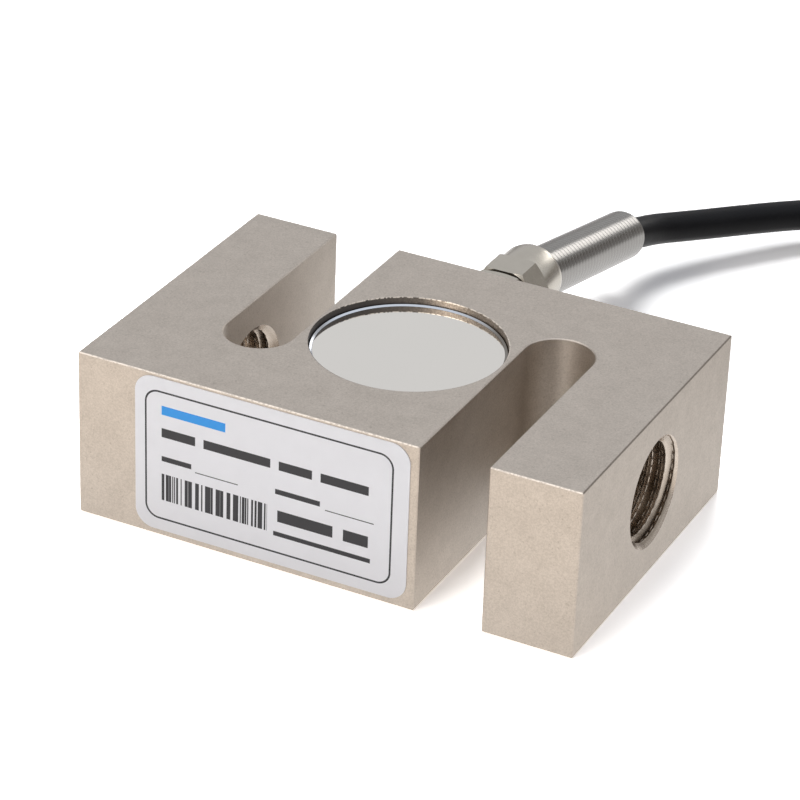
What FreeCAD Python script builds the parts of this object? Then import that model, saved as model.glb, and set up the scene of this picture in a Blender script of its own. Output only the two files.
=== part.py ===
"""S-type load cell: a steel S block with gauge pockets, and a gland, spring guard and signal cable.

Millimetres. Origin at the middle of the block's underside. +X runs along the load axis,
+Y points out of the face that carries the cable gland, +Z is up as the cell lies flat.
"""

import FreeCAD, Part
import math
import os
from FreeCAD import Placement, Rotation, Vector

# ---------------------------------------------------------------- driving dimensions

# S block
block_length = 76.2
block_width = 50.8
block_height = 25.4
leg_width = 13.4
slot_width = 10.2
bridge_width = 13.0
edge_break = 0.15

# Threaded load holes, M16 x 2, modelled at the tapping diameter
load_hole_radius = 7.0
load_hole_rim_radius = 8.2

# Gauge pockets, one from each flat face, with a thin shear web between them
pocket_radius = 12.0
web_thickness = 3.2
cover_seat_radius = 14.0
cover_seat_depth = 2.0
wire_pass_radius = 1.2

wire_pass_wall = 0.5
wire_pass_angle = -18.0

# Press-fitted pocket covers
cover_thickness = 1.0
cover_gap = 0.05
cover_bevel = 0.35

# Strain gauges, terminal board and potting
gauge_length = 7.6
gauge_width = 4.6
gauge_thickness = 0.12
gauge_spread = 4.6
gauge_lift = 2.6
gauge_tab_pitch = 2.2
gauge_tab_drop = 1.4
board_length = 13.0
board_width = 4.4
board_thickness = 1.0
board_inset = 7.6
board_pad_pitch = 1.0
board_pad_margin = 0.6
core_pad_pitch = 2.0
core_rise = 0.9
core_landing = 3.2
potting_depth = 2.6
gauge_wire_radius = 0.15
gauge_wire_lift = 0.4
jumper_reach = 4.0
jumper_count = 4
jumper_pitch = 0.48

# Cable gland, measured outwards from the block's back face
gland_height = 18.2
gland_flats = 10.1
gland_spigot_radius = 4.0
gland_spigot_length = 8.0
gland_spigot_chamfer = 0.5
gland_hole_extra = 0.5
gland_hole_cone = 0.8
gland_thread_gap = 0.03
seal_thickness = 0.8
seal_radius = 4.9
flange_thickness = 4.0
neck_length = 0.6
neck_radius = 3.5
stem_length = 4.0
stem_chamfer = 0.3
stem_bore_radius = 3.2
bush_seat_depth = 2.0
bush_gap = 0.02
cable_gap = 0.2
hex_chamfer = 0.55
hex_chamfer_length = 0.33
hex_face_chamfer = 0.82
hex_face_chamfer_length = 0.5

# Gland nut
nut_hex_length = 5.4
nut_length = 10.8
nut_nose_radius = 5.0
nut_nose_round = 0.22
nut_nose_round_length = 0.9
nut_shoulder = 2.9
clamp_washer_thickness = 0.6
clamp_washer_gap = 0.1
socket_seat_radius = 4.05
socket_mouth_radius = 4.65

# Spring guard
spring_radius = 3.95
spring_wire = 1.1
spring_pitch = 1.2
spring_coils = 33
spring_droop = 13.1
spring_yaw = 0.9
spring_seat_gap = 1.0
spring_runs_per_turn = 10

# Cable: where its jacket starts in the gland, and its route to the coil
cable_radius = 2.5
jacket_start = 1.4
cable_route_after_spring = [
    Vector(2.3, 86.9, 7.1),
    Vector(11.2, 96.0, 6.95),
    Vector(18.6, 104.3, 6.3),
    Vector(30.5, 110.8, 4.3),
    Vector(42.6, 115.4, 3.6),
    Vector(50.8, 118.1, 3.3),
]
kink_offset = 3.2

# Coil of spare cable, tied and lying flat
coil_across = 75.0
coil_back = 85.0
coil_center = Vector(coil_across, coil_back, 0.0)
coil_middle_radius = 28.5
coil_half_width = 12.5
coil_layers = 4
tie_thickness = 0.8
tie_width = 4.8
tie_angle = 42.0
tie_head_length = 6.5
tie_head_width = 6.4
tie_head_height = 4.0
tie_head_setback = 2.0

# Cable tail on top of the coil, and its stripped cores
tail_start_angle = -92.0
tail_turn = -88.0
tail_start_radius = 35.5
tail_end_radius = 30.0
tail_points = 3
core_radius = 0.6
core_gap = 0.05
core_start_gap = 0.5
core_start_pitch = 1.42
core_turn = 52.0
core_spread = 1.9
core_first_spread = 1.5
core_last_spread = 2.6
tip_length = 6.0
tip_radius = 0.32

# Flat sides of the thin wires' sections, and how cords and cutters are drawn
core_sides = 6
wire_sides = 4
arc_share = 0.45
cutter_over = 1.0

# Rating label on the front face
label_length = 42.2
label_height = 24.0
label_thickness = 0.12
label_corner = 2.8
label_shift = -7.8
label_rise = 0.28
label_tilt = 0.15

# ---------------------------------------------------------------- sizes that follow

half_length = block_length / 2
half_width = block_width / 2
back_face = half_width
front_face = -half_width
web_top = (block_height + web_thickness) / 2
web_bottom = (block_height - web_thickness) / 2
slot_radius = slot_width / 2
slot_middle = half_length - leg_width - slot_radius
slot_end_center = half_width - bridge_width - slot_radius

flange_start = seal_thickness
flange_end = flange_start + flange_thickness
nut_start = flange_end + neck_length
stem_end = nut_start + stem_length
washer_end = stem_end + clamp_washer_thickness
socket_start = washer_end + nut_shoulder
nut_end = nut_start + nut_length
cable_bore_radius = cable_radius + cable_gap
bush_start = flange_start + bush_seat_depth
pocket_side = pocket_radius - 2 * cutter_over

spring_length = spring_coils * spring_pitch
spring_start = Vector(0, back_face + socket_start + spring_seat_gap, gland_height)
spring_axis = Rotation(Vector(0, 0, 1), spring_yaw).multVec(
    Rotation(Vector(1, 0, 0), -spring_droop).multVec(Vector(0, 1, 0)))
spring_end = spring_start + spring_axis * spring_length

coil_inner = coil_middle_radius - coil_half_width
coil_outer = coil_middle_radius + coil_half_width
coil_bottom = tie_thickness
coil_top = coil_bottom + coil_layers * 2 * cable_radius

UP = Vector(0, 0, 1)
OUT = Vector(0, 1, 0)


# ---------------------------------------------------------------- helpers

def turned(profile, start=Vector(0, 0, 0), axis=UP):
    """Revolve a closed outline of (along, radius) points about an axis through a start point."""
    outline = [Vector(radius, 0, along) for along, radius in profile]
    wire = Part.makePolygon(outline + [outline[0]])
    solid = Part.Face(wire).revolve(Vector(0, 0, 0), UP, 360)
    solid.Placement = Placement(start, Rotation(UP, axis))
    return solid


def on_gland(profile):
    """A turned piece on the gland's axis; lengths count outwards from the back face."""
    return turned(profile, Vector(0, back_face, gland_height), OUT)


def hexagon(flats, start, end):
    """A hexagonal bar on the gland's axis with one pair of flats level."""
    corner = flats / 2 / math.cos(math.pi / 6)
    ring = [Vector(corner * math.cos(i * math.pi / 3), back_face + start,
                   gland_height + corner * math.sin(i * math.pi / 3)) for i in range(7)]
    return Part.Face(Part.makePolygon(ring)).extrude(OUT * (end - start))


def chamfered_hexagon(flats, start, end):
    """A hexagonal bar whose corners are turned off at both ends, more at the outer one."""
    corner = flats / 2 / math.cos(math.pi / 6)
    cone = on_gland([(start, 0), (start, corner - hex_chamfer), (start + hex_chamfer_length, corner),
                     (end - hex_face_chamfer_length, corner), (end, corner - hex_face_chamfer), (end, 0)])
    return hexagon(flats, start, end).common(cone)


def cord_path(points):
    """Straight runs joined by tangent arcs, each arc as large as its two runs allow."""
    edges, radii = [], []
    start = points[0]
    for before, corner, after in zip(points, points[1:], points[2:]):
        arriving, leaving = corner - before, after - corner
        half_turn = arriving.getAngle(leaving) / 2
        setback = arc_share * min(arriving.Length, leaving.Length)
        radius = setback / math.tan(half_turn)
        arriving.normalize()
        leaving.normalize()
        inward = (leaving - arriving).normalize()
        first = corner - arriving * setback
        middle = corner + inward * radius * (1 / math.cos(half_turn) - 1)
        last = corner + leaving * setback
        edges.append(Part.LineSegment(start, first).toShape())
        edges.append(Part.Arc(first, middle, last).toShape())
        radii.append(round(radius, 1))
        start = last
    edges.append(Part.LineSegment(start, points[-1]).toShape())
    return Part.Wire(edges), radii


def tube(points, radius):
    """A round cord of one radius along a route of points."""
    path, radii = cord_path(points)
    section = Part.Wire(Part.Circle(points[0], points[1] - points[0], radius).toShape())
    solid = path.makePipe(Part.Face(section))
    return solid, path.Length, radii


def mitred(points, radius, sides):
    """A thin wire along straight runs with mitred corners; its section has a few flat sides."""
    section = Part.makePolygon([Vector(radius * math.cos(2 * math.pi * i / sides),
                                       radius * math.sin(2 * math.pi * i / sides), 0)
                                for i in range(sides + 1)])
    section.Placement = Placement(points[0], Rotation(UP, points[1] - points[0]))
    right_corners = 1
    return Part.makePolygon(points).makePipeShell([section], True, False, right_corners)


def on_coil(radius, angle, height):
    """A point at a radius, angle in degrees and height about the coil's centre."""
    turn = math.radians(angle)
    return coil_center + Vector(radius * math.cos(turn), radius * math.sin(turn), height)


def mirrored_to_bottom(shape):
    """The same piece for the lower pocket: half a turn about the load axis at mid-height."""
    return shape.rotated(Vector(0, 0, block_height / 2), Vector(1, 0, 0), 180)


# ---------------------------------------------------------------- the block

def s_profile():
    """The S outline as one face: a rectangle less two round-ended slots from opposite sides."""
    face = Part.makePlane(block_length, block_width, Vector(-half_length, front_face, 0))
    for side in (-1, 1):
        middle = side * slot_middle
        left, right = middle - slot_radius, middle + slot_radius
        mouth = -side * (half_width + cutter_over)
        end = side * slot_end_center
        arc = Part.Arc(Vector(left, end, 0), Vector(middle, end + side * slot_radius, 0),
                       Vector(right, end, 0)).toShape()
        walls = Part.makePolygon([Vector(right, end, 0), Vector(right, mouth, 0),
                                  Vector(left, mouth, 0), Vector(left, end, 0)])
        face = face.cut(Part.Face(Part.Wire([arc] + walls.Edges)))
    return face


def block_blank():
    """The extruded S with its outline edges broken on both flat faces and its corners eased."""
    blank = s_profile().extrude(UP * block_height).removeSplitter()
    outline = [edge for edge in blank.Edges
               if abs(edge.BoundBox.ZMax - edge.BoundBox.ZMin) < 1e-6
               or abs(edge.BoundBox.ZMax - edge.BoundBox.ZMin - block_height) < 1e-6
               and abs(abs(edge.CenterOfMass.y) - half_width) < 1e-3]
    return blank.makeChamfer(edge_break, outline)


def load_hole(side):
    """The tapping bore through one leg, with a 45 degree lead at both mouths."""
    lead = load_hole_rim_radius - load_hole_radius
    wide = load_hole_rim_radius + cutter_over
    return turned([(-cutter_over, 0), (-cutter_over, wide), (lead, load_hole_radius),
                   (leg_width - lead, load_hole_radius), (leg_width + cutter_over, wide),
                   (leg_width + cutter_over, 0)],
                  Vector(side * half_length, 0, block_height / 2), Vector(-side, 0, 0))


def pocket():
    """One gauge pocket with the shallow seat of its cover."""
    return turned([(web_top, 0), (web_top, pocket_radius),
                   (block_height - cover_seat_depth, pocket_radius),
                   (block_height - cover_seat_depth, cover_seat_radius),
                   (block_height + cutter_over, cover_seat_radius), (block_height + cutter_over, 0)])


def gland_hole():
    """The tapped seat of the gland and the smaller way on into the upper pocket."""
    seat_depth = gland_spigot_length + gland_hole_extra
    return on_gland([(cutter_over, 0), (cutter_over, gland_spigot_radius),
                     (-seat_depth, gland_spigot_radius),
                     (-seat_depth - gland_hole_cone, cable_bore_radius),
                     (pocket_side - back_face, cable_bore_radius), (pocket_side - back_face, 0)])


def wire_pass():
    """Where the lower gauges' wires come up through the web, beside the terminal board."""
    place = wire_pass_place()
    return Part.makeCylinder(wire_pass_radius, web_thickness + 2 * cutter_over,
                             Vector(place.x, place.y, web_bottom - cutter_over))


def wire_pass_place():
    """The middle of the wire pass, close to the pocket's wall."""
    reach = pocket_radius - wire_pass_radius - wire_pass_wall
    turn = math.radians(wire_pass_angle)
    return Vector(reach * math.cos(turn), reach * math.sin(turn), 0)


def s_body():
    """The one machined piece that carries everything."""
    cuts = [load_hole(-1), load_hole(1), pocket(), mirrored_to_bottom(pocket()),
            gland_hole(), wire_pass()]
    return block_blank().cut(cuts[0].multiFuse(cuts[1:]))


# ---------------------------------------------------------------- pocket contents

def top_cover():
    """The polished disc pressed on the seat over the upper pocket, with a bevelled rim."""
    seat = block_height - cover_seat_depth
    radius = cover_seat_radius - cover_gap
    return turned([(seat, 0), (seat, radius), (seat + cover_thickness - cover_bevel, radius),
                   (seat + cover_thickness, radius - cover_bevel), (seat + cover_thickness, 0)])


def gauge(side, height):
    """One foil gauge bonded to the web, turned 45 degrees to the load axis to read shear."""
    foil = Part.makeBox(gauge_length, gauge_width, gauge_thickness,
                        Vector(-gauge_length / 2, -gauge_width / 2, 0))
    foil.Placement = Placement(Vector(side * gauge_spread, gauge_lift, height), Rotation(UP, side * 45))
    return foil


def terminal_board():
    """The small soldering board glued to the web, where gauges and cable cores meet."""
    return Part.makeBox(board_length, board_width, board_thickness,
                        Vector(-board_length / 2, -board_inset - board_width / 2, web_top))


def core_offset(index):
    """Where one of the four cores lies in the cable's section, as an (across, up) pair."""
    turn = math.radians(45 + 90 * index)
    reach = core_radius * 1.6
    return reach * math.cos(turn), reach * math.sin(turn)


def inner_core(index):
    """A cable core from the stripped jacket through the gland and down to the board."""
    across, up = core_offset(index)
    pad = (1.5, -1.5, -0.5, 0.5)[index] * core_pad_pitch
    height = gland_height + up
    rest = web_top + board_thickness + core_radius
    far = 0.8 * core_radius - board_inset
    return mitred([Vector(across, back_face + jacket_start, height),
                   Vector(across, pocket_side, height),
                   Vector((across + pad) / 2, pocket_radius / 10, (2 * height + rest) / 3),
                   Vector(pad, far + core_landing, rest + core_rise),
                   Vector(pad, far, rest)], core_radius, core_sides)


def gauge_wires():
    """Two fine wires from each upper gauge to the board."""
    rest = web_top + gauge_thickness + gauge_wire_radius
    lift = web_top + board_thickness + gauge_wire_radius
    front = board_width / 2 - board_inset
    wires = []
    for side in (-1, 1):
        for lane in (0, 1):
            tab = gauge_spread + gauge_tab_pitch * (lane - 0.55)
            pad = gauge_spread + board_pad_pitch * (lane + 0.2)
            start = Vector(side * tab, gauge_lift - gauge_tab_drop - gauge_wire_lift * 2 * lane, rest)
            over = Vector(side * (pad + tab) / 2, front + gauge_wire_lift * 2, lift)
            end = Vector(side * pad, front - board_pad_margin, lift)
            wires.append(mitred([start, over, end], gauge_wire_radius, wire_sides))
    return Part.makeCompound(wires)


def jumper_wires():
    """Fine wires from the lower gauges, up through the web and on to the board's end."""
    place = wire_pass_place()
    below = web_bottom - gauge_thickness - gauge_wire_radius - gauge_wire_lift
    lift = web_top + board_thickness + gauge_wire_radius
    wires = []
    for lane in range(jumper_count):
        shift = (lane - (jumper_count - 1) / 2) * jumper_pitch
        column = Vector(place.x, place.y + shift, 0)
        wires.append(mitred([Vector(place.x - jumper_reach, place.y + shift, below),
                             column + UP * below,
                             column + UP * (lift + gauge_wire_lift),
                             Vector(board_length / 2 - board_pad_margin, shift - board_inset, lift)],
                            gauge_wire_radius, wire_sides))
    return Part.makeCompound(wires)


def potting(level_from, level_to, buried):
    """Soft sealing compound that fills a pocket round what it covers."""
    fill = Part.makeCylinder(pocket_radius, level_to - level_from, Vector(0, 0, level_from))
    for piece in buried:
        fill = fill.cut(piece)
    return fill


# ---------------------------------------------------------------- gland and spring guard

def gland_seal():
    """The flat sealing washer between the gland's flange and the block."""
    return on_gland([(0, gland_spigot_radius), (0, seal_radius), (seal_thickness, seal_radius),
                     (seal_thickness, gland_spigot_radius)])


def gland_body():
    """Threaded spigot, hexagonal flange, neck and the hollow stem that the nut screws on."""
    spigot = gland_spigot_radius - gland_thread_gap
    inner_end = -gland_spigot_length
    core = on_gland([(inner_end, 0), (inner_end, spigot - gland_spigot_chamfer),
                     (inner_end + gland_spigot_chamfer, spigot), (flange_end, spigot),
                     (flange_end, neck_radius), (nut_start, neck_radius), (nut_start, spigot),
                     (stem_end - stem_chamfer, spigot), (stem_end, spigot - stem_chamfer), (stem_end, 0)])
    flange = chamfered_hexagon(gland_flats, flange_start, flange_end)
    bore = on_gland([(inner_end - cutter_over, 0), (inner_end - cutter_over, cable_bore_radius),
                     (bush_start, cable_bore_radius), (bush_start, stem_bore_radius),
                     (stem_end + cutter_over, stem_bore_radius), (stem_end + cutter_over, 0)])
    return core.fuse(flange).cut(bore).removeSplitter()


def seal_bush():
    """The rubber bush squeezed round the jacket inside the stem."""
    inner = cable_radius + bush_gap
    return on_gland([(bush_start, inner), (bush_start, stem_bore_radius),
                     (stem_end, stem_bore_radius), (stem_end, inner)])


def clamp_washer():
    """The loose steel washer that lets the nut turn without twisting the bush."""
    inner = cable_bore_radius + clamp_washer_gap
    outer = gland_spigot_radius - clamp_washer_gap
    return on_gland([(stem_end, inner), (stem_end, outer), (washer_end, outer), (washer_end, inner)])


def gland_nut():
    """Hexagon with a turned nose; its shoulder presses the washer, its socket holds the spring."""
    hexed = chamfered_hexagon(gland_flats, nut_start, nut_start + nut_hex_length)
    nose = on_gland([(nut_start + cutter_over, 0), (nut_start + cutter_over, nut_nose_radius),
                     (nut_end - nut_nose_round_length, nut_nose_radius),
                     (nut_end, nut_nose_radius - nut_nose_round), (nut_end, 0)])
    throat = cable_bore_radius + clamp_washer_gap
    inside = on_gland([(nut_start - cutter_over, 0), (nut_start - cutter_over, gland_spigot_radius),
                       (washer_end, gland_spigot_radius), (washer_end, throat),
                       (socket_start, throat), (socket_start, socket_seat_radius),
                       (nut_end, socket_mouth_radius), (nut_end + cutter_over, socket_mouth_radius),
                       (nut_end + cutter_over, 0)])
    return hexed.fuse(nose).cut(inside).removeSplitter()


def relief_spring():
    """The close-wound spring guard that keeps the cable from kinking at the gland.

    One wire on a helix, drawn as short mitred runs whose corners and middles lie
    equally far outside and inside the wire's true radius.
    """
    corner_radius = (spring_radius - spring_wire / 2) * 2 / (1 + math.cos(math.pi / spring_runs_per_turn))
    runs = (spring_coils - 1) * spring_runs_per_turn
    points = []
    for run in range(runs + 1):
        turn = 2 * math.pi * run / spring_runs_per_turn
        along = spring_wire / 2 + (spring_length - spring_wire) * run / runs
        points.append(Vector(corner_radius * math.cos(turn), corner_radius * math.sin(turn), along))
    coils = mitred(points, spring_wire / 2, core_sides)
    coils.Placement = Placement(spring_start, Rotation(UP, spring_axis))
    return coils


# ---------------------------------------------------------------- cable

def cable_route():
    """From the stripped jacket in the gland, through the spring, and down to the coil."""
    kink = spring_end + spring_axis * kink_offset
    start = Vector(0, back_face + jacket_start, gland_height)
    return [start, spring_start, kink] + cable_route_after_spring


def cable_coil():
    """The outer shape of the tied coil of spare cable."""
    return turned([(coil_bottom, coil_inner), (coil_bottom, coil_outer),
                   (coil_top, coil_outer), (coil_top, coil_inner)], coil_center)


def coil_tie(coil):
    """A nylon tie round the coil's section, with its locking head on top."""
    inner, outer = coil_inner - tie_thickness, coil_outer + tie_thickness
    strap = Part.makeBox(outer - inner, tie_width, coil_top + tie_thickness,
                         Vector(inner, -tie_width / 2, 0))
    opening = Part.makeBox(coil_outer - coil_inner, tie_width + 2 * cutter_over, coil_top - coil_bottom,
                           Vector(coil_inner, -tie_width / 2 - cutter_over, coil_bottom))
    head_start = coil_outer - tie_head_length - tie_head_setback
    head = Part.makeBox(tie_head_length, tie_head_width, tie_head_height,
                        Vector(head_start, -tie_head_width / 2, coil_top))
    tie = strap.cut(opening).fuse(head)
    tie.Placement = Placement(coil_center, Rotation(UP, tie_angle))
    return tie.cut(coil).removeSplitter()


def tail_route():
    """The last part of the cable, lying on top of the coil."""
    height = coil_top + cable_radius
    steps = [i / (tail_points - 1) for i in range(tail_points)]
    return [on_coil(tail_start_radius + (tail_end_radius - tail_start_radius) * step,
                    tail_start_angle + tail_turn * step, height) for step in steps]


def outer_core_route(index):
    """One stripped core, fanned out over the coil beyond the end of the jacket."""
    last, before = tail_route()[-1], tail_route()[-2]
    along = (last - before).normalize()
    outward = Vector(-along.y, along.x, 0)
    lane = index - 1.5
    low = coil_top + core_radius + core_gap
    angle = tail_start_angle + tail_turn
    return [last + along * core_start_gap + outward * lane * core_start_pitch,
            on_coil(tail_end_radius + lane * core_first_spread, angle - 0.2 * core_turn, low + core_radius),
            on_coil(tail_end_radius + lane * core_spread, angle - 0.55 * core_turn, low),
            on_coil(tail_end_radius + lane * core_last_spread, angle - (0.85 + index / 25) * core_turn, low)]


def core_tip(index):
    """The tinned end of one core."""
    route = outer_core_route(index)
    along = (route[-1] - route[-2]).normalize()
    return mitred([route[-1], route[-1] + along * tip_length], tip_radius, core_sides)


# ---------------------------------------------------------------- label

def rating_label():
    """A thin label with rounded corners on the front face, stuck on slightly askew."""
    sheet = Part.makeBox(label_length, label_thickness, label_height,
                         Vector(-label_length / 2, -label_thickness, -label_height / 2))
    corners = [edge for edge in sheet.Edges if edge.BoundBox.YLength > label_thickness / 2]
    sheet = sheet.makeFillet(label_corner, corners)
    sheet.Placement = Placement(Vector(label_shift, front_face, block_height / 2 + label_rise),
                                Rotation(Vector(0, -1, 0), label_tilt))
    return sheet


# ---------------------------------------------------------------- build and write

def build():
    """Every node's name and solid."""
    core_names = ["red", "black", "green", "white"]
    nodes = {"s_body": s_body(), "top_cover": top_cover(), "bottom_cover": mirrored_to_bottom(top_cover())}
    for side, place in ((-1, "left"), (1, "right")):
        nodes["top_gauge_" + place] = gauge(side, web_top)
        nodes["bottom_gauge_" + place] = mirrored_to_bottom(gauge(side, web_top))
    nodes["terminal_board"] = terminal_board()
    nodes["gauge_wires"] = gauge_wires()
    nodes["jumper_wires"] = jumper_wires()
    for index, name in enumerate(core_names):
        nodes["inner_core_" + name] = inner_core(index)
    buried = [nodes[name] for name in nodes if name not in ("s_body", "top_cover", "bottom_cover")]
    nodes["top_potting"] = potting(web_top, web_top + potting_depth, buried)
    nodes["bottom_potting"] = potting(web_bottom - potting_depth, web_bottom, buried)
    nodes["gland_seal"] = gland_seal()
    nodes["gland_body"] = gland_body()
    nodes["seal_bush"] = seal_bush()
    nodes["clamp_washer"] = clamp_washer()
    nodes["gland_nut"] = gland_nut()
    nodes["relief_spring"] = relief_spring()
    nodes["cable"], run, radii = tube(cable_route(), cable_radius)
    print("cable: radii", radii, "length", round(run, 1), "volume / section",
          round(nodes["cable"].Volume / (math.pi * cable_radius ** 2), 1))
    nodes["cable_coil"] = cable_coil()
    nodes["cable"] = nodes["cable"].cut(nodes["cable_coil"])
    nodes["coil_tie"] = coil_tie(nodes["cable_coil"])
    nodes["cable_tail"], run, radii = tube(tail_route(), cable_radius)
    print("tail: radii", radii, "length", round(run, 1))
    for index, name in enumerate(core_names):
        nodes["outer_core_" + name] = mitred(outer_core_route(index), core_radius, core_sides)
    nodes["core_tips"] = Part.makeCompound([core_tip(index) for index in range(len(core_names))])
    nodes["rating_label"] = rating_label()
    return nodes


os.makedirs("parts", exist_ok=True)
for node, solid in build().items():
    print(node, "valid" if solid.isValid() else "INVALID", len(solid.Solids), "solid(s)",
          round(solid.Volume, 1), "mm3")
    solid.exportStep("parts/" + node + ".step")
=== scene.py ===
# %% [markdown]
# # An S-type load cell in a small studio
#
# A load cell turns a pull or a push into a small voltage. This one is a steel block cut to
# an S, so that its middle bends in shear when the two ends are pulled apart. The block, its
# covers and its cable gland come from a CAD model; this lesson gives them their finish and
# adds what a machinist leaves to the last: threads, a sprung cable guard, the cable itself
# and the small print on the label.
#
# Lengths in the text are millimetres and are turned into Blender's metres by `mm`.

import math

import bmesh
import bpy
import numpy as np
from mathutils import Matrix


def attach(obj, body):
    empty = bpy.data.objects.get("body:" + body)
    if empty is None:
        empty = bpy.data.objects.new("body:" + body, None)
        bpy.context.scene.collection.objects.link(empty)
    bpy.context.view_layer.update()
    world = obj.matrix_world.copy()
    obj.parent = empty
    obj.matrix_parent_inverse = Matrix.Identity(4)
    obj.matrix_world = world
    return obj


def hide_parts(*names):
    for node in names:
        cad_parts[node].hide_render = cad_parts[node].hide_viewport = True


mm = 0.001
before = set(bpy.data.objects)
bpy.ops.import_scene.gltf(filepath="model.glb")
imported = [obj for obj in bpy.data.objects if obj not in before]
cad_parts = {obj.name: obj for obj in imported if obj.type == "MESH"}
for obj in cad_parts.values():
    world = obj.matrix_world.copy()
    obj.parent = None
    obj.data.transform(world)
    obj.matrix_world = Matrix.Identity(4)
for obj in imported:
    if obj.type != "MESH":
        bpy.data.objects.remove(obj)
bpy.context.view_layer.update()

# %% [markdown]
# ## The camera
#
# A long lens stands half a metre away and looks down on the block over its front right
# corner. It is placed by what can be read off a tripod: the turn and tilt of the head, the
# distance, and a slight roll. The rotation's three columns are the camera's own right, up and
# backward directions.

# %% Camera
aim_point = np.array([-3.80, 5.74, 12.59]) * mm
camera_distance = 487.3 * mm
head_turn = math.radians(25.914)
head_tilt = math.radians(28.862)
head_roll = math.radians(2.231)
lens_length = 153.97
sensor_width = 36.0


def camera_axes(turn, tilt, roll):
    """Right, up and backward unit vectors of a camera that looks along +Y when unturned."""
    forward = np.array([-math.sin(turn) * math.cos(tilt), math.cos(turn) * math.cos(tilt),
                        -math.sin(tilt)])
    level = np.array([math.cos(turn), math.sin(turn), 0.0])
    upright = np.cross(level, forward)
    right = level * math.cos(roll) + upright * math.sin(roll)
    return right, np.cross(right, forward), -forward


def add_camera():
    """The camera object, set as the scene's own."""
    right, up, backward = camera_axes(head_turn, head_tilt, head_roll)
    data = bpy.data.cameras.new("studio_camera")
    data.lens = lens_length
    data.sensor_width = sensor_width
    data.clip_start = 0.05
    data.clip_end = 20.0
    camera = bpy.data.objects.new("studio_camera", data)
    place = Matrix(np.column_stack([right, up, backward]).tolist()).to_4x4()
    place.translation = aim_point + backward * camera_distance
    camera.matrix_world = place
    bpy.context.scene.collection.objects.link(camera)
    bpy.context.scene.camera = camera
    return camera


camera = add_camera()
print("camera at", [round(value, 4) for value in camera.matrix_world.translation])

# %% [markdown]
# ## Shader maths as arithmetic
#
# A material in Blender is a graph of nodes. Wiring each sum by hand hides what is meant, so
# `Signal` wraps a socket and lets `+ - * /` add the Math nodes, and `Finish` owns one
# material and makes every other node through one method. A finish then reads like the
# sentence that describes it.

# %% Signal and Finish
class Signal:
    """A number that varies over a surface; arithmetic on it adds Math nodes."""

    def __init__(self, finish, socket):
        self.finish = finish
        self.socket = socket

    def _math(self, operation, first, second=0.0, third=0.0):
        made = self.finish.node("Math", {"operation": operation}, {0: first, 1: second, 2: third})
        return Signal(self.finish, made.outputs[0])

    def __add__(self, other):
        return self._math("ADD", self, other)

    def __sub__(self, other):
        return self._math("SUBTRACT", self, other)

    def __rsub__(self, other):
        return self._math("SUBTRACT", other, self)

    def __mul__(self, other):
        return self._math("MULTIPLY", self, other)

    def __truediv__(self, other):
        return self._math("DIVIDE", self, other)

    __radd__ = __add__
    __rmul__ = __mul__

    def absolute(self):
        return self._math("ABSOLUTE", self)

    def root(self):
        return self._math("SQRT", self)

    def at_least(self, other):
        return self._math("MAXIMUM", self, other)

    def at_most(self, other):
        return self._math("MINIMUM", self, other)

    def below(self, limit):
        """1 where this is under the limit, else 0."""
        return self._math("LESS_THAN", self, limit)

    def near(self, place, reach):
        """1 at a place, falling in a straight line to 0 at a reach from it."""
        return 1.0 - ((self - place).absolute() / reach).at_most(1.0)

    def ramp(self, low, high):
        """0 below low, 1 above high, and straight between."""
        made = self.finish.node("MapRange", {"clamp": True},
                                {"Value": self, "From Min": low, "From Max": high})
        return Signal(self.finish, made.outputs["Result"])


class Finish:
    """One material: a Principled surface and the nodes that feed it."""

    def __init__(self, name, color, roughness, metallic=0.0, **sockets):
        self.material = bpy.data.materials.new(name)
        self.material.use_nodes = True
        self.tree = self.material.node_tree
        self.surface = self.tree.nodes["Principled BSDF"]
        self.set(self.surface, "Base Color", color)
        self.set(self.surface, "Roughness", roughness)
        self.set(self.surface, "Metallic", metallic)
        for socket, value in sockets.items():
            self.set(self.surface, socket.replace("_", " "), value)
        self.place = self.node("TexCoord").outputs["Object"]

    def set(self, node, socket, value):
        """Put a number, a colour or a link into one input of a node."""
        if isinstance(value, Signal):
            value = value.socket
        if isinstance(value, bpy.types.NodeSocket):
            self.tree.links.new(value, node.inputs[socket])
        elif isinstance(value, (tuple, list)) and node.inputs[socket].type == "RGBA":
            node.inputs[socket].default_value = tuple(value[:3]) + (1.0,)
        else:
            node.inputs[socket].default_value = value

    def node(self, kind, settings=None, sockets=None):
        """Any shader node by its type, with its settings first and then its sockets."""
        made = self.tree.nodes.new("ShaderNode" + kind)
        for setting, value in (settings or {}).items():
            setattr(made, setting, value)
        for socket, value in (sockets or {}).items():
            self.set(made, socket, value)
        return made

    def noise(self, size, detail=2.0, roughness=0.5):
        """Cloudy noise from 0 to 1 whose blobs are about one size across, in metres."""
        made = self.node("TexNoise", {}, {"Vector": self.place, "Scale": 1.0 / size, "Detail": detail,
                                          "Roughness": roughness})
        return Signal(self, made.outputs[0])

    def blend(self, factor, first, second):
        """A colour between two colours."""
        made = self.node("Mix", {"data_type": "RGBA"}, {0: factor, 6: first, 7: second})
        return made.outputs[2]

    def axis(self, which, place=None):
        """One coordinate of the surface point, in metres."""
        made = self.node("SeparateXYZ", {}, {"Vector": place or self.place})
        return Signal(self, made.outputs["XYZ".index(which)])

    def color(self, value):
        self.set(self.surface, "Base Color", value)

    def roughness(self, value):
        self.set(self.surface, "Roughness", value)

    def bump(self, height, depth):
        """Raise the surface by a height signal times a depth in metres."""
        made = self.node("Bump", {}, {"Height": height, "Distance": depth, "Strength": 1.0})
        self.set(self.surface, "Normal", made.outputs[0])


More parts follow.
